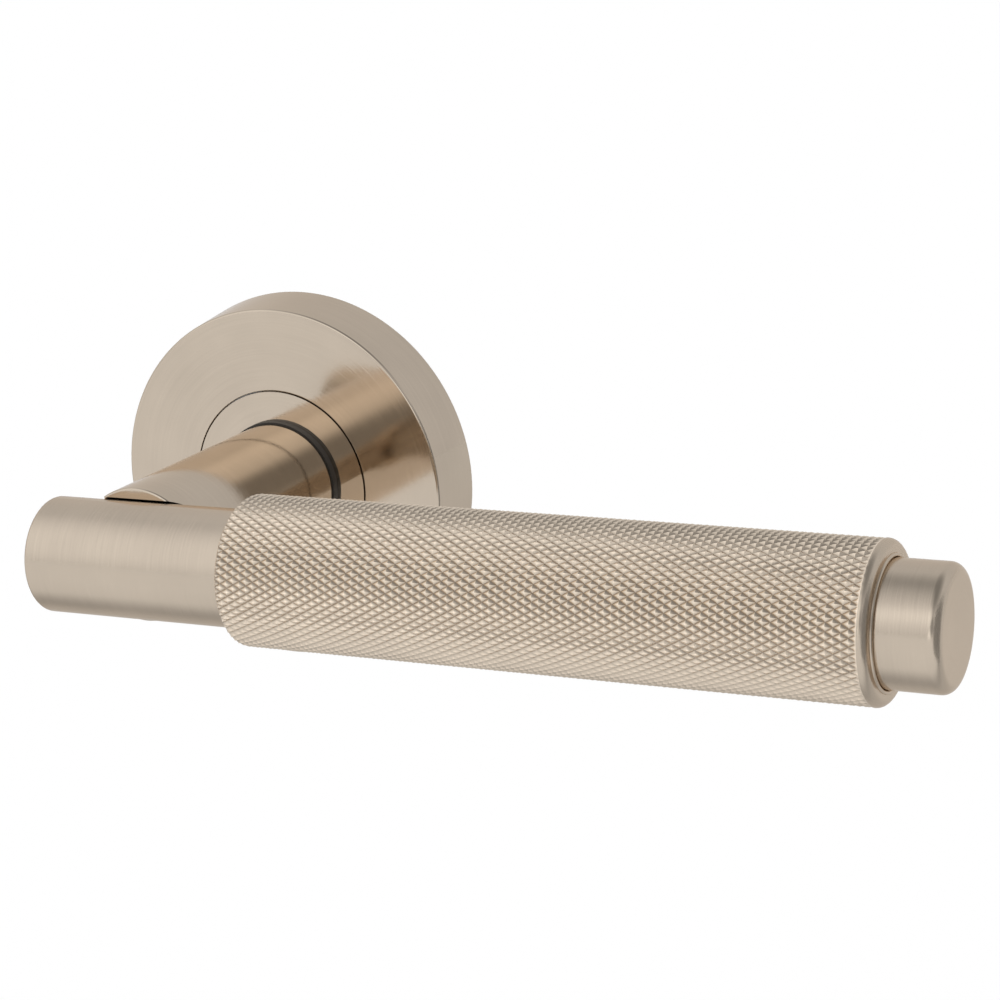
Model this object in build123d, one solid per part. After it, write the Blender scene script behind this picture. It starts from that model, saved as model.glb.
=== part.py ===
from build123d import *
import os
from math import asin, ceil, cos, degrees, floor, radians, sin, sqrt

# Sprung door lever handle on a round rose. Millimetres.
# The origin is on the spindle axis in the plane of the door face. +X runs along the lever,
# -Y points away from the door and +Z is up.

# ---------------------------------------------------------------- driving sizes
# Clearances and small allowances
running_fit = 0.05           # radial clearance of the turning shank
end_play = 0.05              # lengthwise clearance of the turning lever
seat_gap = 0.02              # radial gap of a pressed or screwed seat
hole_bottom_gap = 0.5        # blind hole beyond the end of its screw
past = 1.0                   # how far a cut runs past the face that it opens

# Rose cover and flush ring
rose_depth = 8.7             # door face to front face
cover_back_r = 26.0          # outer radius at the door
cover_front_r = 25.2         # outer radius at the front edge
cover_wall = 1.2
cover_edge_round = 0.4
cover_fit = 0.08             # radial clearance of the push-on cover over the base
ring_line = 0.2              # hairline gap between the cover and the flush ring
ring_width = 4.17            # face of the flush ring, from bore to rim
ring_edge_chamfer = 0.1
ring_skirt_wall = 0.9

# Spindle socket and shank
socket_size = 8.1            # square hole for an 8 mm spindle
socket_depth = 22.7
shank_wall = 1.87            # metal over the corners of the socket
shank_inset = 0.3            # shank end to door face
shank_flat_depth = 0.9       # depth of the two flats that key the cam

# Bearing bush and thrust washer
bush_wall = 1.53
bush_proud = 1.0             # how far the bush stands out of the rose face
washer_t = 0.5
washer_wall = 2.6

# Base plate
base_wall = 1.6
hub_wall = 1.2
pocket_room = 1.5            # spring wire to the pocket's outer wall
bolt_spacing = 38.0
bolt_hole_r = 2.2
bolt_head_r = 4.0
bolt_head_depth = 2.6
wood_screw_hole_r = 2.1
wood_screw_head_r = 4.0
grip_wire_r = 0.6
grip_wire_gap = 0.1
grip_groove_y = -2.8
grip_ring_open_deg = 60.0
grip_ring_turn_deg = -15.0

# Back plate, its screws and the stop pin
plate_t = 1.0
plate_land = 1.0             # how far the plate overlaps the pocket's rim
plate_gap = 0.1
plate_bore_gap = 2.0         # shank to the plate's hole, room for the circlip
plate_ear_r = 3.0
plate_ear_out = 2.4          # centre of an ear beyond the plate's rim
plate_ear_degs = [45, 135, 225, 315]
plate_screw_r = 1.25
plate_screw_head_r = 2.1
plate_screw_length = 4.5
cross_length = 2.4
cross_width = 0.5
cross_depth = 0.5
stop_pin_r = 0.9
stop_pin_deg = 60.0
stop_pin_end_gap = 0.25
stop_clearance = 0.15
notch_floor_gap = 0.3

# Circlip, drive cam and return spring
circlip_t = 0.8
circlip_inset = 0.5          # circlip to the plane of the door face
circlip_groove_depth = 0.7
circlip_out = 1.1            # how far the circlip stands out of the shank
circlip_lug_r = 1.2
circlip_lug_hole_r = 0.55
circlip_lug_out = 0.2
circlip_lug_deg = 6.0        # centre of a lug beyond the ring's open end
circlip_open_deg = 50.0
cam_t = 1.4
cam_gap = 0.8                # cam to the pocket's outer wall
turn_deg = 45.0              # lever travel
spring_wire_r = 0.5
spring_leg_r = 0.49          # legs are ground a hair thinner than the coil
spring_hub_gap = 0.38
spring_front_gap = 0.1
spring_cam_gap = 0.15
spring_leg_deg = 247.5       # where the fixed leg sits in the base
spring_leg_length = 3.4
spring_leg_gap = 0.15        # room round a leg in its slot or hole
spring_leg_end_gap = 0.3

# Neck
neck_shoulder = 1.35         # how far the neck stands out of the shank
neck_flare = 0.1             # how much the neck widens to its tip
neck_tip_setback = 2.1       # tip of the neck behind the bar axis
neck_tip_round = 0.3
saddle_gap = 0.4             # radius of the neck's saddle over the bar's
grub_r = 2.5
grub_length = 4.4
grub_inset = 5.0             # grub screw from the bottom of the socket
grub_tip_gap = 0.25
grub_key = 2.5
grub_key_depth = 2.0

# Bar, sleeve and cap
bar_y = -47.5                # bar axis
bar_r = 7.6
bar_x0 = -11.7
bar_edge_round = 0.5
core_step = 1.0              # bar down to the core inside the sleeve
sleeve_step = 2.15           # bar up to the crests of the knurl
sleeve_x0 = 18.2
sleeve_x1 = 102.75
sleeve_edge_round = 0.5
sleeve_lip_round = 1.4
sleeve_fit = 0.05
cap_show = 7.55              # how far the cap stands out of the sleeve
cap_edge_round = 1.4
cap_seat_depth = 2.5
cap_mouth_gap = 0.2
cap_mouth_chamfer = 0.25

# Bar screw, its washer and the cap stud
screw_r = 2.5
screw_head_r = 4.1
screw_head_h = 5.0
screw_head_gap = 0.25        # radial room for the head in its round hole
screw_head_room = 0.9        # screw head to the bottom of the socket
screw_key = 4.0
screw_bite = 4.0             # length of the screw in the bar
screw_washer_t = 1.1
screw_clearance = 0.2
stud_r = 3.0
stud_in_core = 10.0
stud_in_cap = 7.5

# ---------------------------------------------------------------- places worked out from them
shank_r = socket_size / sqrt(2) + shank_wall
shank_flat = shank_r - shank_flat_depth
pilot_r = screw_head_r + screw_head_gap
neck_base_r = shank_r + neck_shoulder
neck_tip_r = neck_base_r + neck_flare
circlip_groove_r = shank_r - circlip_groove_depth
circlip_r = shank_r + circlip_out
washer_r = shank_r + washer_wall
bush_r = shank_r + running_fit + bush_wall
ring_bore_r = bush_r + seat_gap
ring_skirt_r = ring_bore_r + ring_skirt_wall
ring_r = ring_bore_r + ring_width
cover_hole_r = ring_r + ring_line
base_r = cover_front_r - cover_wall - cover_fit
hub_r = ring_skirt_r + seat_gap + hub_wall
spring_r = hub_r + spring_hub_gap + spring_wire_r
pocket_r = spring_r + spring_wire_r + pocket_room
cam_r = pocket_r - cam_gap
plate_r = pocket_r + plate_land
plate_hole_r = shank_r + plate_bore_gap
plate_ear_at = plate_r + plate_ear_out
bolt_circle_r = bolt_spacing / 2

front_y = -rose_depth
base_front_y = front_y + cover_wall
pocket_front_y = base_front_y + base_wall
circlip_back_y = -circlip_inset
circlip_front_y = circlip_back_y - circlip_t
cam_back_y = circlip_front_y - end_play
cam_front_y = cam_back_y - cam_t
washer_front_y = cam_front_y - washer_t
hub_end_y = washer_front_y - end_play
bush_front_y = front_y - bush_proud
shoulder_y = bush_front_y - end_play
shank_end_y = -shank_inset
spring_front_y = pocket_front_y + spring_front_gap + spring_wire_r
spring_back_y = cam_front_y - spring_cam_gap - spring_wire_r
spring_height = spring_back_y - spring_front_y
spring_turns = 0.75 + max(0, floor(spring_height / (2.08 * spring_wire_r) - 0.75))
spring_end_deg = spring_leg_deg - 360 * spring_turns

bar_back_y = bar_y + bar_r
saddle_r = bar_r + saddle_gap
neck_tip_y = bar_y + neck_tip_setback
socket_end_y = shank_end_y - socket_depth
grub_y = socket_end_y + grub_inset
screw_head_y = socket_end_y - screw_head_room - screw_head_h
pilot_end_y = screw_head_y - screw_washer_t
screw_tip_y = bar_back_y - screw_bite
core_r = bar_r - core_step
sleeve_r = bar_r + sleeve_step
cap_r = bar_r
cap_x0 = sleeve_x1 - cap_seat_depth
cap_x1 = sleeve_x1 + cap_show
core_end_x = cap_x0 - end_play


# ---------------------------------------------------------------- helpers
def cyl(r, start, end):
    """Cylinder of radius r between two points."""
    line = Vector(*end) - Vector(*start)
    plane = Plane(origin=start, z_dir=line)
    return plane * Cylinder(r, line.length, align=(Align.CENTER, Align.CENTER, Align.MIN))


def cyl_y(r, y0, y1, x=0.0, z=0.0):
    return cyl(r, (x, y0, z), (x, y1, z))


def tube_y(r_out, r_in, y0, y1):
    return cyl_y(r_out, y0, y1) - cyl_y(r_in, y0 - past, y1 + past)


def cone_y(r0, y0, r1, y1, x=0.0, z=0.0):
    """Cone frustum along Y with radius r0 at y0 and r1 at y1, y0 < y1."""
    plane = Plane(origin=(x, y0, z), x_dir=(1, 0, 0), z_dir=(0, 1, 0))
    return plane * Cone(r0, r1, y1 - y0, align=(Align.CENTER, Align.CENTER, Align.MIN))


def cyl_on_bar(r, x0, x1):
    """Cylinder on the bar axis."""
    return cyl(r, (x0, bar_y, 0), (x1, bar_y, 0))


def polar(r, deg, y=0.0):
    """Point at radius r from the spindle axis, deg measured from +X towards +Z."""
    return (r * cos(radians(deg)), y, r * sin(radians(deg)))


def sector_y(r, deg0, deg1, y0, y1):
    """Pie slice about the spindle axis from deg0 to deg1, between y0 and y1."""
    steps = max(2, ceil((deg1 - deg0) / 15) + 1)
    outer = r / cos(radians((deg1 - deg0) / (steps - 1) / 2))
    rays = [deg0 + (deg1 - deg0) * i / (steps - 1) for i in range(steps)]
    corners = [(0, y0, 0)] + [polar(outer, a, y0) for a in rays]
    return extrude(make_face(Polyline(*corners, close=True)), amount=y1 - y0, dir=(0, 1, 0))


def circles_at(solid, radius):
    """Round edges of the given radius."""
    return [e for e in solid.edges().filter_by(GeomType.CIRCLE) if abs(e.radius - radius) < 1e-4]


def hex_key(across, start, end):
    """Hexagonal key socket between two points."""
    line = Vector(*end) - Vector(*start)
    outline = Plane(origin=start, z_dir=line) * RegularPolygon(across / 2, 6, major_radius=False)
    return extrude(outline, amount=line.length, dir=line.normalized())


# ---------------------------------------------------------------- rose, fixed to the door
def plate_outline(grow, y0, y1):
    """Round plate with four screw ears, grown by a gap, between y0 and y1."""
    shape = cyl_y(plate_r + grow, y0, y1)
    for deg in plate_ear_degs:
        x, _, z = polar(plate_ear_at, deg)
        shape += cyl_y(plate_ear_r + grow, y0, y1, x, z)
    return shape


def base_plate():
    """Die-cast base with the spring pocket, hub, bolt holes and cover groove."""
    body = cyl_y(base_r, base_front_y, 0)
    body -= tube_y(pocket_r, hub_r, pocket_front_y, past)
    body -= cyl_y(hub_r + past, hub_end_y, past)
    body -= plate_outline(plate_gap, -plate_t, past)
    body -= cyl_y(ring_skirt_r + seat_gap, base_front_y - past, past)
    sink = wood_screw_head_r - wood_screw_hole_r
    for at in (-bolt_circle_r, bolt_circle_r):
        body -= cyl_y(bolt_hole_r, base_front_y - past, past, at, 0)
        body -= cyl_y(bolt_head_r, base_front_y - past, base_front_y + bolt_head_depth, at, 0)
        body -= cyl_y(wood_screw_hole_r, base_front_y - past, past, 0, at)
        body -= cone_y(wood_screw_head_r, base_front_y, wood_screw_hole_r, base_front_y + sink, 0, at)
    for deg in plate_ear_degs:
        x, _, z = polar(plate_ear_at, deg)
        body -= cyl_y(plate_screw_r + seat_gap, -plate_screw_length - hole_bottom_gap, past, x, z)
    groove_half = grip_wire_r + grip_wire_gap
    groove_bottom_r = base_r - 2 * grip_wire_r - grip_wire_gap
    body -= tube_y(base_r + past, groove_bottom_r, grip_groove_y - groove_half, grip_groove_y + groove_half)
    leg_x, _, leg_z = polar(spring_r + spring_leg_length / 2, spring_leg_deg)
    slot_length = spring_leg_length + 2 * spring_leg_end_gap
    slot_width = 2 * (spring_wire_r + spring_leg_gap)
    slot_plane = Plane(
        origin=(leg_x, (pocket_front_y - plate_t) / 2, leg_z),
        x_dir=polar(1, spring_leg_deg),
        z_dir=(0, 1, 0),
    )
    return body - slot_plane * Box(slot_length, slot_width, -plate_t - pocket_front_y)


def inner_ring():
    """Flush front ring with the skirt that is pressed into the base's hub."""
    ring = cyl_y(ring_r, front_y, base_front_y) + cyl_y(ring_skirt_r, base_front_y, hub_end_y)
    ring -= cyl_y(ring_bore_r, front_y - past, past)
    return chamfer(circles_at(ring, ring_r)[:1], ring_edge_chamfer)


def bearing_bush():
    return tube_y(bush_r, shank_r + running_fit, bush_front_y, hub_end_y)


def back_plate():
    """Steel plate that closes the spring pocket."""
    plate = plate_outline(0, -plate_t, 0)
    plate -= cyl_y(plate_hole_r, -plate_t - past, past)
    sink = plate_screw_head_r - plate_screw_r
    for deg in plate_ear_degs:
        x, _, z = polar(plate_ear_at, deg)
        plate -= cyl_y(plate_screw_r + seat_gap, -plate_t - past, past, x, z)
        plate -= cone_y(plate_screw_r + seat_gap, -sink, plate_screw_head_r + seat_gap, 0, x, z)
    pin_x, _, pin_z = polar(spring_r, stop_pin_deg)
    return plate - cyl_y(stop_pin_r + seat_gap, -plate_t - past, past, pin_x, pin_z)


def back_plate_screws():
    """Four countersunk screws with cross slots."""
    sink = plate_screw_head_r - plate_screw_r
    screws = []
    for deg in plate_ear_degs:
        x, _, z = polar(plate_ear_at, deg)
        screw = cyl_y(plate_screw_r, -plate_screw_length, 0, x, z)
        screw += cone_y(plate_screw_r, -sink, plate_screw_head_r, 0, x, z)
        for length_x, length_z in ((cross_length, cross_width), (cross_width, cross_length)):
            screw -= Pos(x, 0, z) * Box(length_x, 2 * cross_depth, length_z)
        screws.append(screw.solid())
    return Compound(children=screws)


def stop_pin():
    """Pin on the spring's circle, which the cam's notch meets at each end of the travel."""
    x, _, z = polar(spring_r, stop_pin_deg)
    return cyl_y(stop_pin_r, cam_front_y + stop_pin_end_gap, -seat_gap, x, z)


def return_spring():
    """Torsion spring round the hub, one leg in the base and one in the cam."""
    coil_plane = Plane(
        origin=(0, spring_front_y, 0), x_dir=polar(1, spring_leg_deg), z_dir=(0, 1, 0)
    )
    path = coil_plane * Helix(spring_height / spring_turns, spring_height, spring_r)
    start = path @ 0
    end = path @ 1
    wire = sweep(Plane(origin=start, z_dir=path % 0) * Circle(spring_wire_r), path=path)
    leg_end = polar(spring_r + spring_leg_length, spring_leg_deg, spring_front_y)
    wire += cyl(spring_leg_r, tuple(start), leg_end)
    return wire + cyl(spring_leg_r, tuple(end), (end.X, cam_back_y, end.Z))


def cover_grip_ring():
    """Open ring of spring wire in the base's rim groove."""
    mean_r = base_r - grip_wire_r - seat_gap
    face = Plane(origin=(mean_r, grip_groove_y, 0), z_dir=(0, 0, 1)) * Circle(grip_wire_r)
    ring = revolve(face, Axis.Y, 360 - grip_ring_open_deg)
    return ring.rotate(Axis.Y, grip_ring_turn_deg)


# ---------------------------------------------------------------- cover
def rose_cover():
    """Push-on cup with a slightly tapered side and a central hole."""
    cup = cone_y(cover_front_r, front_y, cover_back_r, 0)
    cup = fillet(circles_at(cup, cover_front_r), cover_edge_round)
    cup -= cyl_y(base_r + cover_fit, base_front_y, past)
    cup -= cyl_y(cover_hole_r, front_y - past, past)
    hole_edges = [e for e in circles_at(cup, cover_hole_r) if e.center().Y < front_y + seat_gap]
    return chamfer(hole_edges, ring_edge_chamfer)


# ---------------------------------------------------------------- lever
def neck():
    """Neck with its saddle for the bar, and the shank with the spindle socket."""
    body = cone_y(neck_tip_r, neck_tip_y, neck_base_r, shoulder_y)
    body = fillet(circles_at(body, neck_tip_r), neck_tip_round)
    body += cyl_y(shank_r, shoulder_y, shank_end_y)
    saddle_y = bar_back_y - saddle_r
    body -= cyl(saddle_r, (-2 * neck_tip_r, saddle_y, 0), (2 * neck_tip_r, saddle_y, 0))
    key_length = shank_end_y - cam_front_y + past
    for side in (-1, 1):
        flat_z = side * (shank_flat + shank_r / 2)
        body -= Pos(0, cam_front_y + key_length / 2, flat_z) * Box(2 * shank_r, key_length, shank_r)
    body -= tube_y(shank_r + past, circlip_groove_r, circlip_front_y, circlip_back_y)
    socket_length = past - socket_end_y
    body -= Pos(0, past - socket_length / 2, 0) * Box(socket_size, socket_length, socket_size)
    body -= cyl_y(pilot_r, pilot_end_y, past)
    body -= cyl_y(screw_r + screw_clearance, bar_y, pilot_end_y + past)
    return body - cyl(grub_r + seat_gap, (0, grub_y, 0), (0, grub_y, -neck_tip_r - past))


def thrust_washer():
    return tube_y(washer_r, shank_r + running_fit, washer_front_y, cam_front_y)


def drive_cam():
    """Plate keyed on the shank's flats, with the spring's hole and the stop notch."""
    bore = cyl_y(shank_r + running_fit, cam_front_y - past, cam_back_y + past)
    bore &= Box(4 * shank_r, 4 * shank_r, 2 * (shank_flat + running_fit))
    cam = cyl_y(cam_r, cam_front_y, cam_back_y) - bore
    half_pin_deg = degrees(asin((stop_pin_r + stop_clearance) / spring_r))
    notch = sector_y(
        cam_r + past,
        stop_pin_deg - half_pin_deg,
        stop_pin_deg + turn_deg + half_pin_deg,
        cam_front_y - past,
        cam_back_y + past,
    )
    notch_floor_r = spring_r - stop_pin_r - notch_floor_gap
    cam -= notch - cyl_y(notch_floor_r, cam_front_y - 2 * past, cam_back_y + 2 * past)
    leg_x, _, leg_z = polar(spring_r, spring_end_deg)
    leg_hole_r = spring_wire_r + spring_leg_gap
    return cam - cyl_y(leg_hole_r, cam_front_y - past, cam_back_y + past, leg_x, leg_z)


def circlip():
    """External retaining ring with two plier lugs, its opening at the bottom."""
    inner_r = circlip_groove_r + seat_gap
    ring = cyl_y(circlip_r, circlip_front_y, circlip_back_y)
    gap = circlip_open_deg / 2
    ring -= sector_y(circlip_r + past, 270 - gap, 270 + gap, circlip_front_y - past, circlip_back_y + past)
    lug_at = (circlip_groove_r + circlip_r) / 2 + circlip_lug_out
    for side in (-1, 1):
        x, _, z = polar(lug_at, 270 + side * (gap + circlip_lug_deg))
        ring += cyl_y(circlip_lug_r, circlip_front_y, circlip_back_y, x, z)
        ring -= cyl_y(circlip_lug_hole_r, circlip_front_y - past, circlip_back_y + past, x, z)
    return ring - cyl_y(inner_r, circlip_front_y - past, circlip_back_y + past)


def spindle_grub_screw():
    """Hexagon-socket set screw in the underside of the neck."""
    tip_z = -socket_size / 2 - grub_tip_gap
    outer_z = tip_z - grub_length
    screw = cyl(grub_r, (0, grub_y, tip_z), (0, grub_y, outer_z))
    return screw - hex_key(grub_key, (0, grub_y, outer_z - past), (0, grub_y, outer_z + grub_key_depth))


def bar_screw_washer():
    return tube_y(screw_head_r, screw_r + screw_clearance, pilot_end_y, screw_head_y)


def bar_screw():
    """Cap screw from inside the socket into the back of the bar."""
    head_back_y = screw_head_y + screw_head_h
    screw = cyl_y(screw_head_r, screw_head_y, head_back_y) + cyl_y(screw_r, screw_tip_y, screw_head_y)
    key_bottom_y = screw_head_y + screw_head_h / 2
    return screw - hex_key(screw_key, (0, key_bottom_y, 0), (0, head_back_y + past, 0))


def grip_bar():
    """Round bar, plain outside the sleeve and turned down to a core inside it."""
    bar = cyl_on_bar(bar_r, bar_x0, sleeve_x0)
    ends = [e for e in circles_at(bar, bar_r) if e.center().X < 0]
    bar = fillet(ends, bar_edge_round)
    bar += cyl_on_bar(core_r, sleeve_x0, core_end_x)
    bar -= cyl_y(screw_r + seat_gap, screw_tip_y - hole_bottom_gap, 0)
    stud_hole_x = core_end_x - stud_in_core - hole_bottom_gap
    return bar - cyl_on_bar(stud_r + seat_gap, stud_hole_x, core_end_x + past)


def knurled_sleeve():
    """Grip sleeve at the height of its knurl, with a rounded lip at the cap end."""
    sleeve = cyl_on_bar(sleeve_r, sleeve_x0, sleeve_x1)
    rims = circles_at(sleeve, sleeve_r)
    sleeve = fillet([e for e in rims if e.center().X > cap_x0], sleeve_lip_round)
    near_rim = [e for e in circles_at(sleeve, sleeve_r) if e.center().X < cap_x0 - sleeve_lip_round]
    sleeve = fillet(near_rim, sleeve_edge_round)
    sleeve -= cyl_on_bar(core_r + sleeve_fit, sleeve_x0 - past, sleeve_x1 + past)
    mouth_r = cap_r + cap_mouth_gap
    sleeve -= cyl_on_bar(mouth_r, cap_x0, sleeve_x1 + past)
    mouth = [e for e in circles_at(sleeve, mouth_r) if e.center().X > sleeve_x1 - seat_gap]
    return chamfer(mouth, cap_mouth_chamfer)


def end_cap():
    """Round cap screwed on the core, which clamps the sleeve."""
    cap = cyl_on_bar(cap_r, cap_x0, cap_x1)
    ends = [e for e in circles_at(cap, cap_r) if e.center().X > sleeve_x1]
    cap = fillet(ends, cap_edge_round)
    return cap - cyl_on_bar(stud_r + seat_gap, cap_x0 - past, cap_x0 + stud_in_cap + hole_bottom_gap)


def cap_stud():
    return cyl_on_bar(stud_r, core_end_x - stud_in_core, cap_x0 + stud_in_cap)


# ---------------------------------------------------------------- write one file per piece
pieces = [
    base_plate,
    inner_ring,
    bearing_bush,
    back_plate,
    back_plate_screws,
    stop_pin,
    return_spring,
    cover_grip_ring,
    rose_cover,
    neck,
    thrust_washer,
    drive_cam,
    circlip,
    spindle_grub_screw,
    bar_screw_washer,
    bar_screw,
    grip_bar,
    knurled_sleeve,
    end_cap,
    cap_stud,
]

os.makedirs("parts", exist_ok=True)
for make in pieces:
    shape = make()
    export_step(shape, f"parts/{make.__name__}.step")
    print(f"{make.__name__:22s} solids {len(shape.solids())}  volume {shape.volume:9.1f} mm3")
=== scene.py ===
# %% [markdown]
# # A door lever handle with a knurled grip
#
# The lever hangs on a round rose that covers the screws in the door. A short neck comes straight out
# of the rose, a round bar crosses its tip, and the hand closes round a sleeve cut with a fine diamond
# knurl. Everything that shows is one finish: satin nickel, brushed while it turned on a lathe.
#
# The solids come ready made, at their real size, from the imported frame. This notebook gives them
# their finish, cuts the knurl that the plain solid leaves out, and lights and frames the whole. All
# lengths are metres; +X runs along the lever, -Y points out of the door and +Z is up.

# %% Load the frame
from math import cos, radians, sin, tau

import bmesh
import bpy
from mathutils import Matrix, Vector


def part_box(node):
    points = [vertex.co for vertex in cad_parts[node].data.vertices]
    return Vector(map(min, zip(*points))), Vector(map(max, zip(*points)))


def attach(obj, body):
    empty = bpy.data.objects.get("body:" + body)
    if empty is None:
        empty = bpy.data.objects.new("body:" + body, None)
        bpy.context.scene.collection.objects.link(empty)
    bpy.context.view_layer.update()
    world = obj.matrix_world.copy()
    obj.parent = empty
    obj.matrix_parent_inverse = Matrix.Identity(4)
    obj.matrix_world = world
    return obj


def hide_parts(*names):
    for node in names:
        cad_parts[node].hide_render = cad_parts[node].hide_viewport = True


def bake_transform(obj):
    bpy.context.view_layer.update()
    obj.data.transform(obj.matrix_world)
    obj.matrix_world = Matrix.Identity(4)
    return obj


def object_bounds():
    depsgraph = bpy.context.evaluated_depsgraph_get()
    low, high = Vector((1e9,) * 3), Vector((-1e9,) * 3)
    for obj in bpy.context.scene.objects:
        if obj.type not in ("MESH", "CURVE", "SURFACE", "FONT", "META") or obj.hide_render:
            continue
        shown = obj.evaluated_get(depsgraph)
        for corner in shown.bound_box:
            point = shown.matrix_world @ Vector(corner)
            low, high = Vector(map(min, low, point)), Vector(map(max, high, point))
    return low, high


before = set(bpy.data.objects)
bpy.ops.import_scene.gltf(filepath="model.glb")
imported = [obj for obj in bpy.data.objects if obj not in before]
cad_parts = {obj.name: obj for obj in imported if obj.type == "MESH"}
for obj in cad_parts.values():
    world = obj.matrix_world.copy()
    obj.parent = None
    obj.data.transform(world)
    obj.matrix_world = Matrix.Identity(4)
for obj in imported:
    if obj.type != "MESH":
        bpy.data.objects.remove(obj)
cad_low, cad_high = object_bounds()
mm = 0.001
print("size in mm:", [round(side / mm, 1) for side in cad_high - cad_low])

# %% [markdown]
# ## The camera
#
# A small thing seen from far away shows little perspective, so the lens is long and the camera
# stands well back. The aim point, the direction and the distance say where the camera is. The slight
# roll is in the camera, not in the object, which stays upright in its own frame.

# %% Camera
aim = Vector((45.08, -30.0, 6.20)) * mm
azimuth, elevation, roll = radians(26.38), radians(15.08), radians(-3.447)
distance = 349.95 * mm
lens, sensor = 98.676, 36.0

towards = Vector((sin(azimuth) * cos(elevation), -cos(azimuth) * cos(elevation), sin(elevation)))
right = (-towards).cross(Vector((0, 0, 1))).normalized()
up = right.cross(-towards)
turned_right = cos(roll) * right + sin(roll) * up
turned_up = cos(roll) * up - sin(roll) * right

camera_data = bpy.data.cameras.new("camera")
camera_data.lens = lens
camera_data.sensor_width = sensor
camera_data.clip_start = 10 * mm
camera = bpy.data.objects.new("camera", camera_data)
bpy.context.scene.collection.objects.link(camera)
camera.matrix_world = Matrix.Translation(aim + distance * towards) @ Matrix(
    (turned_right, turned_up, towards)
).transposed().to_4x4()
bpy.context.scene.camera = camera
print("camera at", [round(c / mm, 1) for c in camera.matrix_world.translation], "mm")

# %% [markdown]
# ## Helpers for nodes
#
# Blender's shader and geometry nodes are graphs: each node has input and output sockets, and a link
# joins two of them. A few small helpers keep the graphs below readable. `add` makes a node and fills
# its inputs, from a number, a vector or another node's output. `calc` is one line of arithmetic, and
# `new_group` starts a node group with its named sockets.


# %% Node helpers
def fill(tree, node, inputs):
    """Give each named or numbered input a value, or a link from another node's socket."""
    for key, value in inputs.items():
        socket = node.inputs[key]
        if isinstance(value, bpy.types.NodeSocket):
            tree.links.new(value, socket)
        else:
            socket.default_value = value


def add(tree, kind, inputs=None, **settings):
    """A new node of the given kind, with its settings and inputs."""
    node = tree.nodes.new(kind)
    for name, value in settings.items():
        setattr(node, name, value)
    fill(tree, node, inputs or {})
    return node


def calc(tree, operation, *values):
    """One arithmetic step; returns its result's socket."""
    inputs = dict(enumerate(values))
    return add(tree, "ShaderNodeMath", inputs, operation=operation).outputs[0]


def vector_from(tree, x, y, z):
    """Three numbers put together as a vector; returns its socket."""
    return add(tree, "ShaderNodeCombineXYZ", {0: x, 1: y, 2: z}).outputs[0]


def new_group(name, kind, inputs, outputs):
    """An empty node group with the given sockets: (name, type, default)."""
    tree = bpy.data.node_groups.new(name, kind)
    for socket_name, socket_type, default in inputs:
        socket = tree.interface.new_socket(socket_name, in_out="INPUT", socket_type=socket_type)
        if default is not None:
            socket.default_value = default
    for socket_name, socket_type in outputs:
        tree.interface.new_socket(socket_name, in_out="OUTPUT", socket_type=socket_type)
    return tree, tree.nodes.new("NodeGroupInput").outputs, tree.nodes.new("NodeGroupOutput")


# %% [markdown]
# ## Brushing that follows the lathe
#
# Satin nickel is polished with an abrasive while the work turns, so every scratch is a circle about
# the turning axis. Seen close, the colour and gloss hardly change along a circle and change quickly
# across it. A noise texture can do that if its space is bent first: one coordinate runs across the
# circles, and the angle goes in as a sine and a cosine, small enough to leave long streaks and
# without the seam that a plain angle has.
#
# The effect is a node group, since the rose, the neck, the bar and the cap all share it. It puts out
# a colour factor, a roughness and a height; the shader itself stays in each material.


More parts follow.
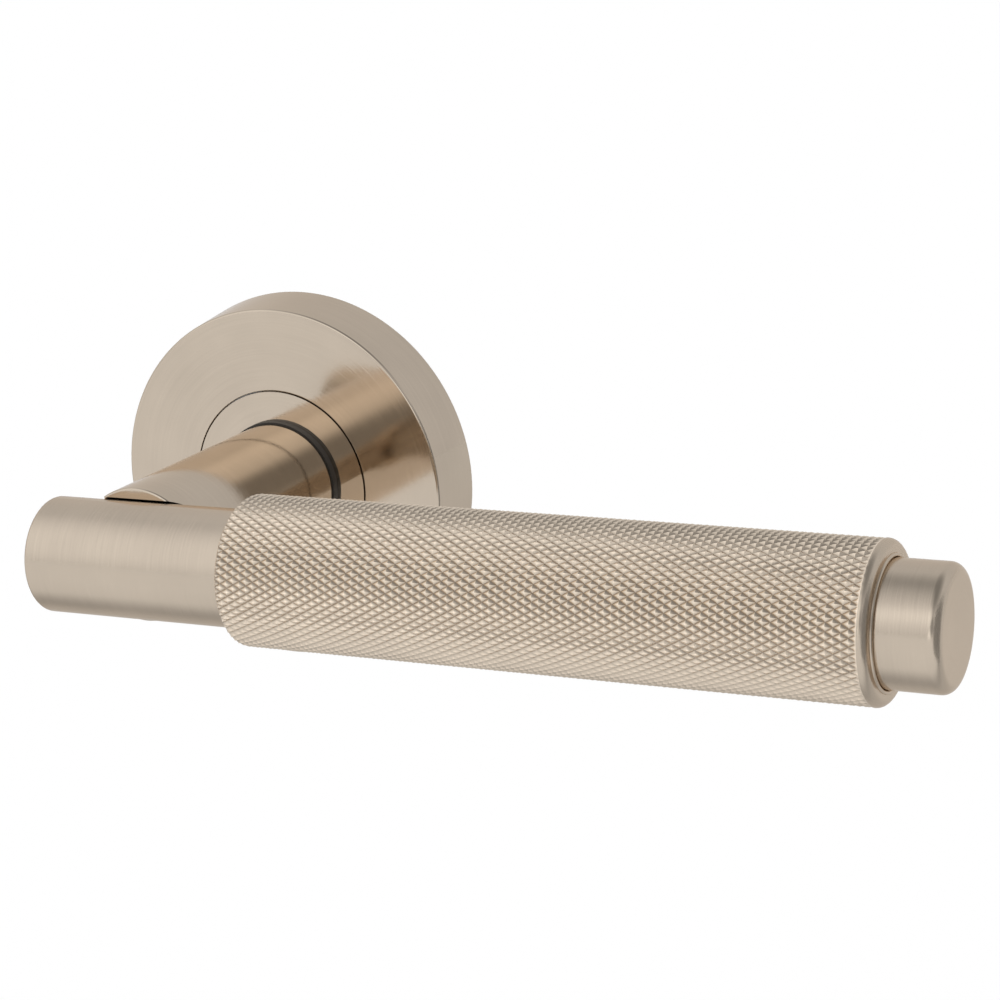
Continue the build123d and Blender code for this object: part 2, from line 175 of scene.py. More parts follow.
# %% Turned brushing group
def make_brushing():
    """The group that turns a point into a tint, a roughness and a height; returns it."""
    tree, given, result = new_group(
        "turned_brushing",
        "ShaderNodeTree",
        [
            ("Point", "NodeSocketVector", None),
            ("Line width", "NodeSocketFloat", 0.25 * mm),
            ("Streak length", "NodeSocketFloat", 1.0),
            ("Base roughness", "NodeSocketFloat", 0.25),
            ("Roughness spread", "NodeSocketFloat", 0.10),
            ("Colour spread", "NodeSocketFloat", 0.16),
            ("Cloud size", "NodeSocketFloat", 9 * mm),
        ],
        [
            ("Tint", "NodeSocketFloat"),
            ("Roughness", "NodeSocketFloat"),
            ("Height", "NodeSocketFloat"),
        ],
    )
    # Across the scratches: the distance from the axis plus the distance along it.
    point = add(tree, "ShaderNodeSeparateXYZ", {0: given["Point"]}).outputs
    x_squared = calc(tree, "POWER", point[0], 2.0)
    y_squared = calc(tree, "POWER", point[1], 2.0)
    ring = calc(tree, "SQRT", calc(tree, "ADD", x_squared, y_squared))
    across = calc(tree, "DIVIDE", calc(tree, "ADD", ring, point[2]), given["Line width"])

    # Along the scratches: the angle, as a cosine and a sine.
    outwards = vector_from(tree, point[0], point[1], 0.0)
    turn = add(tree, "ShaderNodeVectorMath", {0: outwards}, operation="NORMALIZE")
    sides = add(tree, "ShaderNodeSeparateXYZ", {0: turn.outputs[0]}).outputs
    spread = calc(tree, "DIVIDE", 1.0, given["Streak length"])
    along_cosine = calc(tree, "MULTIPLY", sides[0], spread)
    along_sine = calc(tree, "MULTIPLY", sides[1], spread)
    bent = vector_from(tree, across, along_cosine, along_sine)
    lines = add(tree, "ShaderNodeTexNoise", {
        "Vector": bent, "Scale": 1.0, "Detail": 3.0, "Roughness": 0.65,
    })
    height = lines.outputs["Fac"]

    # Broad clouds over the fine lines, as no hand polishes quite evenly.
    cloud_scale = calc(tree, "DIVIDE", 1.0, given["Cloud size"])
    clouds = add(tree, "ShaderNodeTexNoise", {
        "Vector": given["Point"], "Scale": cloud_scale, "Detail": 2.0,
    })
    fine = calc(tree, "SUBTRACT", height, 0.5)
    broad = calc(tree, "SUBTRACT", clouds.outputs["Fac"], 0.5)
    both = calc(tree, "ADD", fine, broad)
    tint = calc(tree, "ADD", 1.0, calc(tree, "MULTIPLY", both, given["Colour spread"]))
    uneven = calc(tree, "MULTIPLY", both, given["Roughness spread"])
    roughness = calc(tree, "ADD", given["Base roughness"], uneven)
    fill(tree, result, {"Tint": tint, "Roughness": roughness, "Height": height})
    return tree


brushing = make_brushing()
print("group:", brushing.name, "with", len(brushing.nodes), "nodes")

# %% [markdown]
# ## Metals
#
# One function makes every metal here. The base colour of a metal is what it reflects, so a warm nickel
# is a pale, slightly brown grey with no paint over it. The foot and the turning say where the axis of
# the lathe was: subtracting the foot brings the axis to the centre, and the Mapping node turns it to
# Z, where the brushing group expects it.
#
# Two things belong to this finish. At a shallow angle a plain metal mirrors pure white, which would
# leave grey edges on a warm metal, so the edge tint keeps them warm. And the scratches of the rose and
# the neck are fine enough to mirror the lever, so their bump is weaker than the bar's.


# %% Metal material
turning_y = (radians(90), 0, 0)
turning_x = (0, radians(-90), 0)
scratch_depth = 0.01 * mm


def metal(name, colour, roughness, foot=(0, 0, 0), turning=turning_y, anisotropy=0.0, tangent=None,
          scratch=1.0, edge=(1.0, 1.0, 1.0)):
    """A brushed metal turned about an axis through foot; scratch is how deep the brushing feels.

    Edge tints what the metal mirrors at a shallow angle.
    """
    material = bpy.data.materials.new(name)
    material.use_nodes = True
    tree = material.node_tree
    shader = tree.nodes["Principled BSDF"]
    place = add(tree, "ShaderNodeTexCoord").outputs["Object"]
    centred = add(tree, "ShaderNodeVectorMath", {0: place, 1: foot}, operation="SUBTRACT").outputs[0]
    point = add(tree, "ShaderNodeMapping", {"Vector": centred, "Rotation": turning}).outputs[0]
    marks = add(tree, "ShaderNodeGroup", {
        "Point": point, "Base roughness": roughness,
    }, node_tree=brushing).outputs
    tinted = add(tree, "ShaderNodeVectorMath", {0: colour, "Scale": marks["Tint"]}, operation="SCALE")
    bump = add(tree, "ShaderNodeBump", {
        "Strength": scratch, "Distance": scratch_depth, "Height": marks["Height"],
    })
    fill(tree, shader, {
        "Base Color": tinted.outputs[0],
        "Roughness": marks["Roughness"],
        "Normal": bump.outputs["Normal"],
        "Metallic": 1.0,
        "Anisotropic": anisotropy,
        "Specular Tint": (*edge, 1.0),
    })
    if tangent:
        around = add(tree, "ShaderNodeTangent", direction_type="RADIAL", axis=tangent)
        tree.links.new(around.outputs[0], shader.inputs["Tangent"])
    return material


# %% The metals
bar_low, bar_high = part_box("grip_bar")
bar_axis_y = (bar_low.y + bar_high.y) / 2
bar_foot = (0, bar_axis_y, 0)
nickel = (0.610, 0.523, 0.428)
warm_edge = (1.0, 0.92, 0.84)
zinc = (0.60, 0.61, 0.62)

rose_nickel = metal(
    "rose_nickel", nickel, 0.09, anisotropy=0.5, tangent="Y", scratch=0.35, edge=warm_edge,
)
neck_nickel = metal(
    "neck_nickel", nickel, 0.10, anisotropy=0.4, tangent="Y", scratch=0.4, edge=warm_edge,
)
bar_nickel = metal(
    "bar_nickel", nickel, 0.20, bar_foot, turning_x, anisotropy=0.5, tangent="X", edge=warm_edge,
)
cap_nickel = metal(
    "cap_nickel", nickel, 0.18, bar_foot, turning_x, anisotropy=0.4, tangent="X", edge=warm_edge,
)
casting = metal("casting", (0.50, 0.51, 0.52), 0.5)
plated = metal("plated", zinc, 0.3)
spring = metal("spring", (0.42, 0.41, 0.40), 0.3)
blackened = metal("blackened", (0.05, 0.05, 0.052), 0.4)
for turned in (rose_nickel, neck_nickel, bar_nickel, cap_nickel, casting, plated, spring, blackened):
    print("metal:", turned.name, "with", len(turned.node_tree.nodes), "nodes")

# %% [markdown]
# ## Plastics
#
# The bearing bush is dark nylon and the thrust washer is natural acetal. Moulded plastic is slightly
# uneven in gloss, with a soft grain from the mould, so noise drives its roughness and a faint bump.


# %% Plastic material
gloss_spread = 0.08


def plastic(name, colour, roughness, grain):
    """A moulded plastic; grain is the size of its unevenness."""
    material = bpy.data.materials.new(name)
    material.use_nodes = True
    tree = material.node_tree
    place = add(tree, "ShaderNodeTexCoord").outputs["Object"]
    grains = add(tree, "ShaderNodeTexNoise", {"Vector": place, "Scale": 1 / grain, "Detail": 4.0})
    noise = grains.outputs["Fac"]
    shade = add(tree, "ShaderNodeMapRange", {"Value": noise, "To Min": 0.85, "To Max": 1.15}).outputs[0]
    tinted = add(tree, "ShaderNodeVectorMath", {0: colour, "Scale": shade}, operation="SCALE")
    gloss = add(tree, "ShaderNodeMapRange", {
        "Value": noise, "To Min": roughness - gloss_spread, "To Max": roughness + gloss_spread,
    }).outputs[0]
    bump = add(tree, "ShaderNodeBump", {"Strength": 0.3, "Distance": scratch_depth, "Height": noise})
    fill(tree, tree.nodes["Principled BSDF"], {
        "Base Color": tinted.outputs[0],
        "Roughness": gloss,
        "Normal": bump.outputs["Normal"],
    })
    return material


nylon = plastic("nylon", (0.030, 0.027, 0.024), 0.45, 0.3 * mm)
acetal = plastic("acetal", (0.80, 0.79, 0.76), 0.4, 0.4 * mm)
print("plastics:", nylon.name, "and", acetal.name)

# %% [markdown]
# ## Every solid gets its finish
#
# A material sits in a slot of the mesh, so giving a solid its finish leaves its shape and its place
# alone. What shows from the front is nickel, with the dark bush in the groove round the neck. Behind
# the cover the base is a bare die casting, the plates and their screws are zinc plated, the springs
# are bare steel, and the circlip and the screws inside the neck are blackened.

# %% Give the solids their materials
finishes = {
    rose_nickel: ["inner_ring", "rose_cover"],
    neck_nickel: ["neck"],
    bar_nickel: ["grip_bar"],
    cap_nickel: ["end_cap"],
    casting: ["base_plate"],
    plated: ["back_plate", "back_plate_screws", "stop_pin", "drive_cam", "cap_stud"],
    spring: ["return_spring", "cover_grip_ring", "bar_screw_washer"],
    blackened: ["circlip", "spindle_grub_screw", "bar_screw"],
    nylon: ["bearing_bush"],
    acetal: ["thrust_washer"],
}
for material, nodes in finishes.items():
    for node in nodes:
        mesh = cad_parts[node].data
        mesh.materials.clear()
        mesh.materials.append(material)
    print(material.name, "on", ", ".join(nodes))

# %% [markdown]
# ## The knurled band
#
# A knurl is two families of spiral grooves, one to the left and one to the right, that leave small
# diamonds standing between them. The rule is simple enough for Geometry Nodes: the band is laid out
# flat as a chequerboard of blocks, each half a diamond long and half a diamond wide, so that exactly
# one groove runs corner to corner through each block. Blocks of the one colour have it along one
# diagonal, blocks of the other colour along the other. Two block meshes, split into triangles along
# their own groove, are instanced over the board, joined and rolled up round the bar.
#
# The height of a point depends only on its distance to the nearest groove, which two triangle waves
# give. Near the left edge the band follows the turned rounding, and near the right edge the grooves
# run out into the smooth lip. The grooves could also be cut out of a plain sleeve with booleans, one
# by one, but that is slow and may leave holes; here the count, the depth and the crown are inputs.


# %% Knurl tree
weld_distance = 0.01 * mm


def make_knurl_tree():
    """The tree that lays out, sinks and rolls up the knurled band; returns the node group."""
    tree, given, result = new_group(
        "knurled_band",
        "GeometryNodeTree",
        [
            ("Start", "NodeSocketFloat", None),
            ("Finish", "NodeSocketFloat", None),
            ("Axis Y", "NodeSocketFloat", None),
            ("Crest radius", "NodeSocketFloat", None),
            ("Groove depth", "NodeSocketFloat", None),
            ("Crown", "NodeSocketFloat", None),
            ("Edge rounding", "NodeSocketFloat", None),
            ("Run out", "NodeSocketFloat", None),
            ("Blocks along", "NodeSocketInt", None),
            ("Blocks round", "NodeSocketInt", None),
            ("Steps", "NodeSocketInt", None),
            ("Material", "NodeSocketMaterial", None),
        ],
        [("Geometry", "NodeSocketGeometry")],
    )
    # One block, and the chequerboard of points that carries it.
    length = calc(tree, "SUBTRACT", given["Finish"], given["Start"])
    girth = calc(tree, "MULTIPLY", given["Crest radius"], tau)
    block_x = calc(tree, "DIVIDE", length, given["Blocks along"])
    block_y = calc(tree, "DIVIDE", girth, given["Blocks round"])
    corners = calc(tree, "ADD", given["Steps"], 1.0)
    block = add(tree, "GeometryNodeMeshGrid", {
        "Size X": block_x, "Size Y": block_y, "Vertices X": corners, "Vertices Y": corners,
    }).outputs["Mesh"]

    board = add(tree, "GeometryNodeMeshGrid", {
        "Size X": calc(tree, "SUBTRACT", length, block_x),
        "Size Y": calc(tree, "SUBTRACT", girth, block_y),
        "Vertices X": given["Blocks along"],
        "Vertices Y": given["Blocks round"],
    }).outputs["Mesh"]
    index = add(tree, "GeometryNodeInputIndex").outputs[0]
    column = calc(tree, "FLOOR", calc(tree, "DIVIDE", index, given["Blocks round"]))
    black = calc(tree, "FLOORED_MODULO", calc(tree, "ADD", index, column), 2.0)
    white = calc(tree, "SUBTRACT", 1.0, black)

    # Black blocks are split along one diagonal and white blocks along the other.
    sheet = add(tree, "GeometryNodeJoinGeometry")
    for method, colour in (("FIXED", white), ("FIXED_ALTERNATE", black)):
        split = add(tree, "GeometryNodeTriangulate", {"Mesh": block}, quad_method=method).outputs[0]
        blocks = add(tree, "GeometryNodeInstanceOnPoints", {
            "Points": board, "Selection": colour, "Instance": split,
        })
        tree.links.new(blocks.outputs[0], sheet.inputs[0])
    flat = add(tree, "GeometryNodeRealizeInstances", {"Geometry": sheet.outputs[0]}).outputs[0]

    # How far each point is below the crests: a share of the groove's depth.
    position = add(tree, "GeometryNodeInputPosition").outputs[0]
    here = add(tree, "ShaderNodeSeparateXYZ", {0: position}).outputs
    from_start = calc(tree, "ADD", here[0], calc(tree, "MULTIPLY", length, 0.5))
    round_from_seam = calc(tree, "ADD", here[1], calc(tree, "MULTIPLY", girth, 0.5))
    diamonds_x = calc(tree, "DIVIDE", from_start, calc(tree, "MULTIPLY", block_x, 2.0))
    diamonds_y = calc(tree, "DIVIDE", round_from_seam, calc(tree, "MULTIPLY", block_y, 2.0))
    left_hand = calc(tree, "PINGPONG", calc(tree, "ADD", diamonds_x, diamonds_y), 0.5)
    right_hand = calc(tree, "PINGPONG", calc(tree, "SUBTRACT", diamonds_x, diamonds_y), 0.5)
    from_groove = calc(tree, "MULTIPLY", calc(tree, "MINIMUM", left_hand, right_hand), 2.0)
    below_crest = calc(tree, "MAXIMUM", calc(tree, "SUBTRACT", 1.0, from_groove), 0.0)
    hollow = calc(tree, "POWER", below_crest, given["Crown"])
    to_finish = calc(tree, "SUBTRACT", length, from_start)
    near_finish = calc(tree, "DIVIDE", to_finish, given["Run out"])
    run_out = add(tree, "ShaderNodeClamp", {0: near_finish}).outputs[0]
    sunk = calc(tree, "MULTIPLY", calc(tree, "MULTIPLY", hollow, given["Groove depth"]), run_out)
    knurled = calc(tree, "SUBTRACT", given["Crest radius"], sunk)

    # The rounded left edge, a quarter circle that cuts the crests off.
    rounding = given["Edge rounding"]
    short_of = calc(tree, "MAXIMUM", calc(tree, "SUBTRACT", rounding, from_start), 0.0)
    rounding_squared = calc(tree, "POWER", rounding, 2.0)
    chord = calc(tree, "SUBTRACT", rounding_squared, calc(tree, "POWER", short_of, 2.0))
    arc = calc(tree, "SQRT", calc(tree, "MAXIMUM", chord, 0.0))
    turned = calc(tree, "ADD", calc(tree, "SUBTRACT", given["Crest radius"], rounding), arc)
    radius = calc(tree, "MINIMUM", knurled, turned)

    # Roll the sheet up round the bar's axis, weld the seam and give it its material.
    angle = calc(tree, "DIVIDE", here[1], given["Crest radius"])
    x = calc(tree, "ADD", from_start, given["Start"])
    outwards = calc(tree, "MULTIPLY", radius, calc(tree, "COSINE", angle))
    y = calc(tree, "SUBTRACT", given["Axis Y"], outwards)
    z = calc(tree, "MULTIPLY", radius, calc(tree, "SINE", angle))
    depth = calc(tree, "MULTIPLY", hollow, run_out)
    marked = add(tree, "GeometryNodeStoreNamedAttribute", {
        "Geometry": flat, "Name": "groove", "Value": depth,
    }).outputs[0]
    rolled = add(tree, "GeometryNodeSetPosition", {
        "Geometry": marked, "Position": vector_from(tree, x, y, z),
    }).outputs[0]
    welded = add(tree, "GeometryNodeMergeByDistance", {
        "Geometry": rolled, "Distance": weld_distance,
    }).outputs[0]
    solid = add(tree, "GeometryNodeRealizeInstances", {"Geometry": welded}).outputs[0]
    shown = add(tree, "GeometryNodeSetMaterial", {
        "Geometry": solid, "Material": given["Material"],
    }).outputs[0]
    tree.links.new(shown, result.inputs[0])
    return tree


# %% Run a tree
def set_input(modifier, name, value):
    """Set a modifier's input by its socket's identifier."""
    for item in modifier.node_group.interface.items_tree:
        if item.item_type == "SOCKET" and item.in_out == "INPUT" and item.name == name:
            modifier[item.identifier] = value


def mesh_from_tree(name, tree, values):
    """Run a tree on an empty mesh and keep the result as a plain mesh."""
    holder = bpy.data.objects.new(name, bpy.data.meshes.new(name))
    bpy.context.scene.collection.objects.link(holder)
    modifier = holder.modifiers.new("nodes", "NODES")
    modifier.node_group = tree
    for key, value in values.items():
        set_input(modifier, key, value)
    graph = bpy.context.evaluated_depsgraph_get()
    mesh = bpy.data.meshes.new_from_object(holder.evaluated_get(graph))
    bpy.data.objects.remove(holder)
    return mesh


# %% [markdown]
# ### Painted highlight and shade on the knurl
#
# The crests get a painted highlight and the grooves painted shade, both put into the colour.
# The tree stored how deep each point lies as an attribute, so the material can brighten the crests
# and darken the grooves without a texture. Only the colour changes; the gloss is the same all over.


# %% Knurl material
# Painted highlight on the crests and painted shade in the grooves, as factors on the nickel's colour.
crest_painted_highlight = 1.62
groove_painted_shade = 0.84


def knurled_metal(name, colour, roughness):
    """Nickel with painted highlight on the crests and painted shade in the grooves."""
    material = metal(name, colour, roughness, bar_foot, turning_x)
    tree = material.node_tree
    shader = tree.nodes["Principled BSDF"]
    groove = add(tree, "ShaderNodeAttribute", attribute_name="groove").outputs["Fac"]
    unpainted_colour = shader.inputs["Base Color"].links[0].from_socket
    # From painted highlight on the crests down to painted shade in the grooves.
    painted_highlight_and_shade = add(tree, "ShaderNodeMapRange", {
        "Value": groove, "To Min": crest_painted_highlight, "To Max": groove_painted_shade,
    }).outputs[0]
    shaded = add(tree, "ShaderNodeVectorMath", {0: unpainted_colour, "Scale": painted_highlight_and_shade}, operation="SCALE")
    fill(tree, shader, {"Base Color": shaded.outputs[0]})
    return material


knurled_nickel = knurled_metal("knurled_nickel", nickel, 0.24)
print("crests at", crest_painted_highlight, "and grooves at", groove_painted_shade, "times the nickel's colour")

# %% [markdown]
# ### The sizes of the knurl
#
# A knurling wheel presses a whole number of diamonds round the sleeve, 57 here, or the pattern would
# not meet itself. The places and the radius come from the plain solid's box, so the crests stand
# exactly where its surface was. The right end of the band stops where the smooth lip begins.

# %% Cut the knurl
sleeve_low, sleeve_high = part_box("knurled_sleeve")
cap_low, cap_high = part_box("end_cap")
crest_radius = (sleeve_high.z - sleeve_low.z) / 2
cap_radius = (cap_high.z - cap_low.z) / 2
bead_radius = 0.25 * mm
lip_rounding = 1.1 * mm
lip_face = sleeve_high.x - bead_radius
knurl_finish = lip_face - lip_rounding
edge_rounding = 0.5 * mm
diamonds_round = 57
diamonds_along = 45
blocks_round = 2 * diamonds_round
blocks_along = 2 * diamonds_along
groove_depth = 0.29 * mm
groove_crown = 1.4
groove_run_out = 0.35 * mm
block_steps = 3

band = mesh_from_tree("knurled_band", make_knurl_tree(), {
    "Start": sleeve_low.x,
    "Finish": knurl_finish,
    "Axis Y": bar_axis_y,
    "Crest radius": crest_radius,
    "Groove depth": groove_depth,
    "Crown": groove_crown,
    "Edge rounding": edge_rounding,
    "Run out": groove_run_out,
    "Blocks along": blocks_along,
    "Blocks round": blocks_round,
    "Steps": block_steps,
    "Material": knurled_nickel,
})
print("knurled band:", len(band.polygons), "triangles")

# %% [markdown]
# ### The turned ends of the sleeve
#
# The rounded lip, the small bead round the cap, the mouth and the bore are plain turned shapes, so
# they are one outline spun round the bar axis, with as many steps as the band has vertices round its
# edge. Joined and welded to the band they close the sleeve.


# %% Outline helpers
def arc_points(centre, radius, start, finish, steps):
    """Points (along, out) on an arc; angles in degrees from the axis direction."""
    turns = [radians(start + (finish - start) * i / steps) for i in range(steps + 1)]
    return [(centre[0] + radius * cos(turn), centre[1] + radius * sin(turn)) for turn in turns]


def hold_corners(outline, hold=0.08 * mm, long_run=0.64 * mm):
    """Add a point near both ends of each long run, so that smooth shading stays flat along it."""
    held = [outline[0]]
    for start, finish in zip(outline, outline[1:]):
        run = Vector(finish) - Vector(start)
        if run.length > long_run:
            step = run.normalized() * hold
            held += [tuple(Vector(start) + step), tuple(Vector(finish) - step)]
        held.append(finish)
    return held


def about_bar(along, out, turn):
    """A point along the bar's axis, out from it and turned about it."""
    return along, bar_axis_y + out * cos(turn), out * sin(turn)


def about_spindle(along, out, turn):
    """A point along the spindle's axis, out from it and turned about it."""
    return out * cos(turn), along, out * sin(turn)


def spin_outline(name, outline, steps, place):
    """A mesh of rings of quads from an outline of (along, out) points, spun round an axis."""
    points = [place(along, out, tau * i / steps) for along, out in outline for i in range(steps)]
    faces = []
    for ring in range(len(outline) - 1):
        for i in range(steps):
            a, b = ring * steps + i, ring * steps + (i + 1) % steps
            faces.append((a, a + steps, b + steps, b))
    mesh = bpy.data.meshes.new(name)
    mesh.from_pydata(points, [], faces)
    return mesh


def join_shells(name, shells):
    """Weld (mesh, material, sharp angle) shells into one closed mesh with its faces outwards."""
    shape = bmesh.new()
    for slot, (mesh, material, sharp_angle) in enumerate(shells):
        mesh.polygons.foreach_set("use_smooth", [True] * len(mesh.polygons))
        mesh.polygons.foreach_set("material_index", [slot] * len(mesh.polygons))
        mesh.set_sharp_from_angle(angle=radians(sharp_angle))
        shape.from_mesh(mesh)
    bmesh.ops.remove_doubles(shape, verts=shape.verts, dist=weld_distance)
    bmesh.ops.recalc_face_normals(shape, faces=shape.faces)
    open_edges = sum(1 for edge in shape.edges if len(edge.link_faces) != 2)
    joined = bpy.data.meshes.new(name)
    shape.to_mesh(joined)
    print(name, len(shape.faces), "faces,", open_edges, "open edges, volume",
          round(shape.calc_volume(signed=True) / mm**3), "mm3")
    shape.free()
    for _, material, _ in shells:
        joined.materials.append(material)
    piece = bpy.data.objects.new(name, joined)
    bpy.context.scene.collection.objects.link(piece)
    return piece


# %% Close the sleeve
lip_nickel = metal("lip_nickel", nickel, 0.26, bar_foot, turning_x, edge=warm_edge)
mouth_clearance = 0.04 * mm
mouth_radius = cap_radius + mouth_clearance
bore_radius = 6.65 * mm
seat_x = cap_low.x
lip_steps = 6
lip = arc_points((knurl_finish, crest_radius - lip_rounding), lip_rounding, 90, 0, lip_steps)
bead = arc_points((lip_face, mouth_radius + bead_radius), bead_radius, 90, -90, lip_steps)
sleeve_outline = [
    *lip,
    *bead,
    (seat_x, mouth_radius),
    (seat_x, bore_radius),
    (sleeve_low.x, bore_radius),
    (sleeve_low.x, crest_radius - edge_rounding),
]
ring_steps = block_steps * blocks_round
ends = spin_outline("sleeve_ends", sleeve_outline, ring_steps, about_bar)
knurl_sharp = 20
turned_sharp = 35
sleeve = join_shells("sleeve_knurled", [
    (band, knurled_nickel, knurl_sharp), (ends, lip_nickel, turned_sharp),
])
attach(sleeve, "lever")
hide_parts("knurled_sleeve")

# %% [markdown]
# ## The rose cover
#
# The cover is a shallow cup, turned in one go and slightly narrower in front, so it is an outline
# spun round the spindle as well. A finer turning than the solid's own facets keeps the bright line on
# its rounded front edge unbroken. It replaces the solid, which still stands for it in the mechanism.

# %% Turn the rose cover
cover_low, cover_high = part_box("rose_cover")
ring_low, ring_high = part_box("inner_ring")
turning_steps = 256
cover_taper = 0.8 * mm
taper_angle = 85
cover_back_radius = cover_high.z
cover_front_radius = cover_back_radius - cover_taper
cover_wall = 1.2 * mm
cover_round = 0.4 * mm
hole_round = 0.1 * mm
ring_gap = 0.2 * mm
hole_radius = (ring_high.x - ring_low.x) / 2 + ring_gap
cavity_radius = cover_front_radius - cover_wall
front = cover_low.y
back = cover_high.y
front_corner = (front + cover_round, cover_front_radius - cover_round)
hole_corner = (front + hole_round, hole_radius + hole_round)
front_edge = arc_points(front_corner, cover_round, taper_angle, 180, 8)
hole_edge = arc_points(hole_corner, hole_round, 180, 270, 4)
cover_outline = [
    (back, cover_back_radius),
    *front_edge,
    *hole_edge,
    (front + cover_wall, hole_radius),
    (front + cover_wall, cavity_radius),
    (back, cavity_radius),
    (back, cover_back_radius),
]
cover_shell = spin_outline("cover_shell", hold_corners(cover_outline), turning_steps, about_spindle)
rose = join_shells("rose_cover_turned", [(cover_shell, rose_nickel, turned_sharp)])
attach(rose, "cover")
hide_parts("rose_cover")

# %% [markdown]
# ## The end cap
#
# The cap's broad rounded edge mirrors the whole room, so it shows every facet. It is turned again in
# fine steps like the cover, with the blind hole that its stud screws into. Where the outline meets
# the axis, each ring shrinks to one point, which the weld closes.

# %% Turn the end cap
stud_low, stud_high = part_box("cap_stud")
cap_round = 1.4 * mm
cap_round_steps = 12
stud_clearance = 0.02 * mm
stud_hole_spare = 0.5 * mm
stud_hole_radius = (stud_high.z - stud_low.z) / 2 + stud_clearance
stud_hole_end = stud_high.x + stud_hole_spare
cap_corner = (cap_high.x - cap_round, cap_radius - cap_round)
cap_outline = [
    (stud_hole_end, 0.0),
    (stud_hole_end, stud_hole_radius),
    (cap_low.x, stud_hole_radius),
    (cap_low.x, cap_radius),
    *arc_points(cap_corner, cap_round, 90, 0, cap_round_steps),
    (cap_high.x, 0.0),
]
cap_shell = spin_outline("cap_shell", hold_corners(cap_outline), turning_steps, about_bar)
cap = join_shells("end_cap_turned", [(cap_shell, cap_nickel, turned_sharp)])
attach(cap, "lever")
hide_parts("end_cap")

# %% [markdown]
# ## The return spring
#
# The spring's front leg stays in the base and its back leg turns with the cam, so the coil winds up
# as the lever goes down. Nothing here lets the copy twist, and a rigid copy would cut through the cam.
# The solid's mesh is loose triangles, so a copy of it is welded and then shaded smooth.

# %% Weld the return spring
wire_weld = 0.001 * mm
wire_sharp = 40
wound = bmesh.new()
wound.from_mesh(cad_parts["return_spring"].data)
bmesh.ops.remove_doubles(wound, verts=wound.verts, dist=wire_weld)
spring_mesh = bpy.data.meshes.new("return_spring_wound")
wound.to_mesh(spring_mesh)
wound.free()
spring_mesh.materials.clear()
spring_mesh.materials.append(spring)
spring_mesh.polygons.foreach_set("use_smooth", [True] * len(spring_mesh.polygons))
spring_mesh.set_sharp_from_angle(angle=radians(wire_sharp))
wound_spring = bpy.data.objects.new("return_spring_wound", spring_mesh)
bpy.context.scene.collection.objects.link(wound_spring)
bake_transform(wound_spring)
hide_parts("return_spring")

# %% [markdown]
# ## The floor
#
# A metal shows what stands round it, so the floor matters twice. The camera sees plain white paper
# some way below, as under a handle that is fixed to a door. The metal mirrors it with painted shade
# in soft bands from front to back, darker under the handle and behind it, where a real floor lies in
# shade. One material does both: Light Path says whether the camera or the metal is looking.


# %% Floor
def make_floor(height, side, shown, mirrored):
    """A pale floor. What the metal mirrors of it has painted shade, by bands of (y, shade)."""
    mesh = bpy.data.meshes.new("floor")
    half = side / 2
    sides = ((-half, -half), (half, -half), (half, half), (-half, half))
    mesh.from_pydata([(x, y, height) for x, y in sides], [], [(0, 1, 2, 3)])
    material = bpy.data.materials.new("floor")
    material.use_nodes = True
    tree = material.node_tree
    place = add(tree, "ShaderNodeTexCoord").outputs["Object"]
    depth = add(tree, "ShaderNodeSeparateXYZ", {0: place}).outputs[1]
    near, far = mirrored[0][0], mirrored[-1][0]
    share = add(tree, "ShaderNodeMapRange", {
        "Value": depth, "From Min": near, "From Max": far,
    }).outputs[0]
    ramp = add(tree, "ShaderNodeValToRGB", {0: share})
    ramp.color_ramp.interpolation = "EASE"
    stops = ramp.color_ramp.elements
    while len(stops) < len(mirrored):
        stops.new(0.5)
    for stop, (y, shade) in zip(stops, mirrored):
        stop.position = (y - near) / (far - near)
        stop.color = (shade, shade, shade, 1)
    seen = add(tree, "ShaderNodeLightPath").outputs["Is Camera Ray"]
    colour = add(tree, "ShaderNodeMix", {
        0: seen, 6: ramp.outputs[0], 7: (*shown, 1),
    }, data_type="RGBA").outputs[2]
    fill(tree, tree.nodes["Principled BSDF"], {
        "Base Color": colour, "Roughness": 0.9, "Specular IOR Level": 0.0,
    })
    mesh.materials.append(material)
    floor = bpy.data.objects.new("floor", mesh)
    bpy.context.scene.collection.objects.link(floor)


floor_drop = 0.3
floor_side = 40
paper = (0.95, 0.95, 0.95)
# Painted shade on the floor, seen only in the metal: (y, shade) bands, darkest under the handle.
floor_painted_shade = [(-0.6, 0.85), (-0.25, 0.82), (-0.02, 0.45), (0.12, 0.55), (0.8, 0.66)]
make_floor(cad_low.z - floor_drop, floor_side, paper, floor_painted_shade)
print("floor", floor_drop, "m below the rose, in", len(floor_painted_shade), "bands")

# %% [markdown]
# ## A card at the right
#
# Studios stand dull cards, called flags, beside shiny things: a curved metal needs something darker
# to mirror, or its roundness is lost. This one stands off to the right of the lever. Its edges fade
# to nothing, by mixing the matt surface with a transparent one, so that no hard line shows in the
# metal. The camera doesn't see it and it casts no shadow.


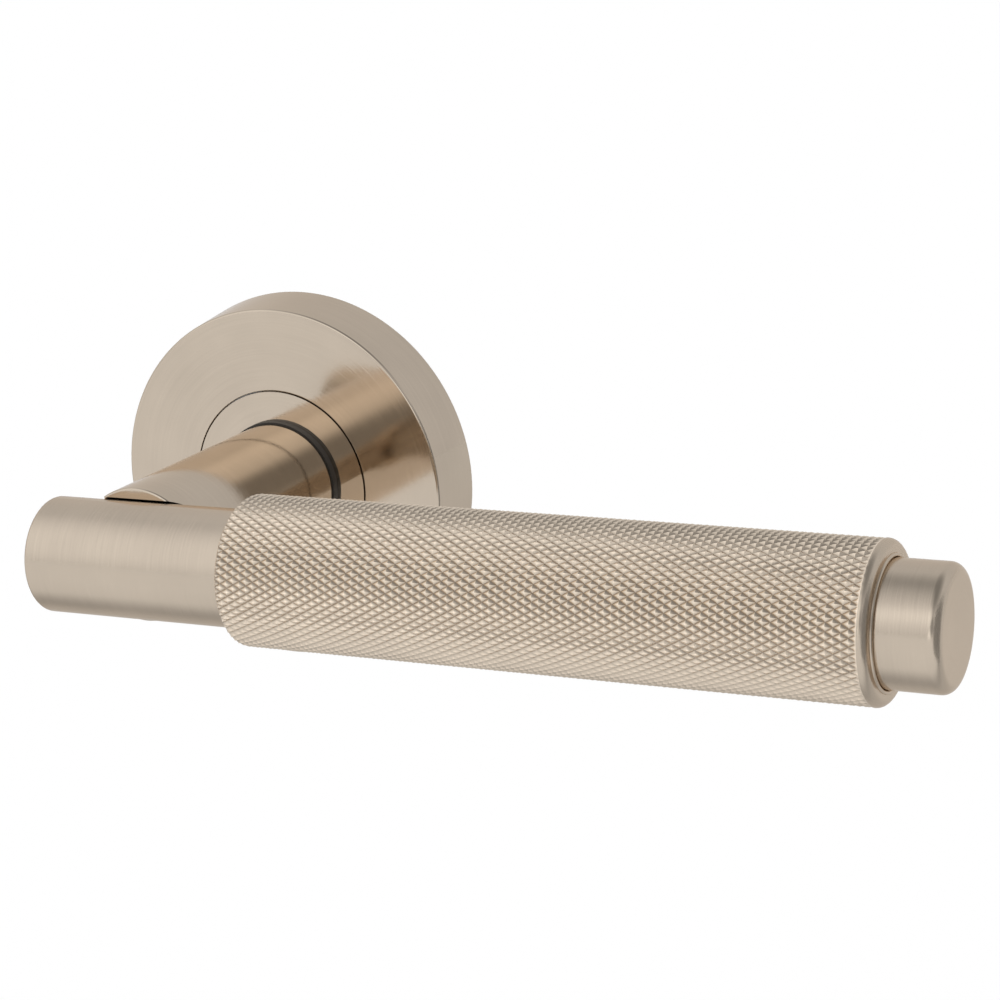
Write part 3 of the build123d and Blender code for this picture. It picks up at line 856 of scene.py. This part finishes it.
# %% Flag
def flag(name, centre, facing, side, shade, solid_share):
    """A matt card that only the metal sees. Past solid_share of its half side it fades out."""
    card = bpy.data.meshes.new(name)
    half = side / 2
    sides = ((-half, -half), (half, -half), (half, half), (-half, half))
    card.from_pydata([(x, y, 0) for x, y in sides], [], [(0, 1, 2, 3)])
    material = bpy.data.materials.new(name)
    material.use_nodes = True
    tree = material.node_tree
    matt = tree.nodes["Principled BSDF"]
    fill(tree, matt, {
        "Base Color": (shade, shade, shade, 1), "Roughness": 1.0, "Specular IOR Level": 0.0,
    })
    place = add(tree, "ShaderNodeTexCoord").outputs["Object"]
    reach = add(tree, "ShaderNodeVectorMath", {0: place}, operation="LENGTH").outputs["Value"]
    solid = add(tree, "ShaderNodeMapRange", {
        "Value": reach, "From Min": half, "From Max": solid_share * half,
    }, interpolation_type="SMOOTHSTEP").outputs[0]
    clear = add(tree, "ShaderNodeBsdfTransparent").outputs[0]
    faded = add(tree, "ShaderNodeMixShader", {0: solid, 1: clear, 2: matt.outputs[0]})
    fill(tree, tree.nodes["Material Output"], {"Surface": faded.outputs[0]})
    card.materials.append(material)
    placed = bpy.data.objects.new(name, card)
    turned = Vector(facing).to_track_quat("Z", "Y").to_matrix().to_4x4()
    placed.matrix_world = Matrix.Translation(centre) @ turned
    placed.visible_camera = False
    placed.visible_shadow = False
    placed.visible_diffuse = False
    bpy.context.scene.collection.objects.link(placed)


flag("flag_right", (0.6, -0.2, 0.0), (-1, 0.2, 0), side=1.1, shade=0.4, solid_share=0.4)
print("flag at the right, facing the lever")

# %% [markdown]
# ## Light all round
#
# The light is a pale surrounding rather than lamps, so every shadow is soft. On it lie a few lobes,
# round patches of more or less light with soft edges, each in a named direction. The dot product of
# the direction looked in and the lobe's own says how near the two are, and Map Range turns that into
# a soft step. The lobes stand for the window, lamps, walls and ceiling of a room, and the metal gets
# its highlights and its darker bands from them. One even lamp, straight down and without shadow,
# keeps the floor white; the metal doesn't mirror it.


# %% World
def make_world(level, lobes):
    """A pale surrounding: an even level, and soft lobes of more or less light in named directions.

    A lobe is (direction, degrees to its full part, degrees to its edge, amount).
    """
    world = bpy.data.worlds.new("studio")
    bpy.context.scene.world = world
    world.use_nodes = True
    tree = world.node_tree
    direction = add(tree, "ShaderNodeTexCoord").outputs["Generated"]
    light = level
    for centre, inner, outer, amount in lobes:
        near_lobe = add(tree, "ShaderNodeVectorMath", {
            0: direction, 1: tuple(Vector(centre).normalized()),
        }, operation="DOT_PRODUCT").outputs["Value"]
        lobe = add(tree, "ShaderNodeMapRange", {
            "Value": near_lobe,
            "From Min": cos(radians(outer)),
            "From Max": cos(radians(inner)),
            "To Min": 0.0,
            "To Max": amount,
        }, interpolation_type="SMOOTHSTEP").outputs[0]
        light = calc(tree, "ADD", light, lobe)
    seen = add(tree, "ShaderNodeLightPath").outputs["Is Camera Ray"]
    light = calc(tree, "MAXIMUM", light, seen)
    fill(tree, tree.nodes["Background"], {"Color": (1, 1, 1, 1), "Strength": light})


# %% Floor wash
def floor_wash(strength):
    """Even light straight down that the metal doesn't mirror, so that the floor is near white."""
    data = bpy.data.lights.new("floor_wash", "SUN")
    data.energy = strength
    data.use_shadow = False
    lamp = bpy.data.objects.new("floor_wash", data)
    lamp.visible_glossy = False
    bpy.context.scene.collection.objects.link(lamp)


# %% Light the room
window = ((-0.5, -0.6, 0.62), 15, 50, 0.30)
dim_ceiling = ((0.15, -0.15, 0.97), 10, 50, -0.42)
dim_back_wall = ((0.0, 1.0, 0.3), 10, 80, -0.06)
dim_corner = ((0.38, -0.865, 0.3), 6, 20, -0.36)
lamp_above = ((0.0, -0.84, 0.54), 5, 22, 0.28)
lamp_in_front = ((0.08, -1.0, 0.0), 4, 17, 0.60)
room = [window, dim_ceiling, dim_back_wall, dim_corner, lamp_above, lamp_in_front]
room_level = 0.72
wash_strength = 1.3
make_world(room_level, room)
floor_wash(wash_strength)
bpy.context.scene.view_settings.view_transform = "Standard"
print("surrounding at", room_level, "with", len(room), "lobes")
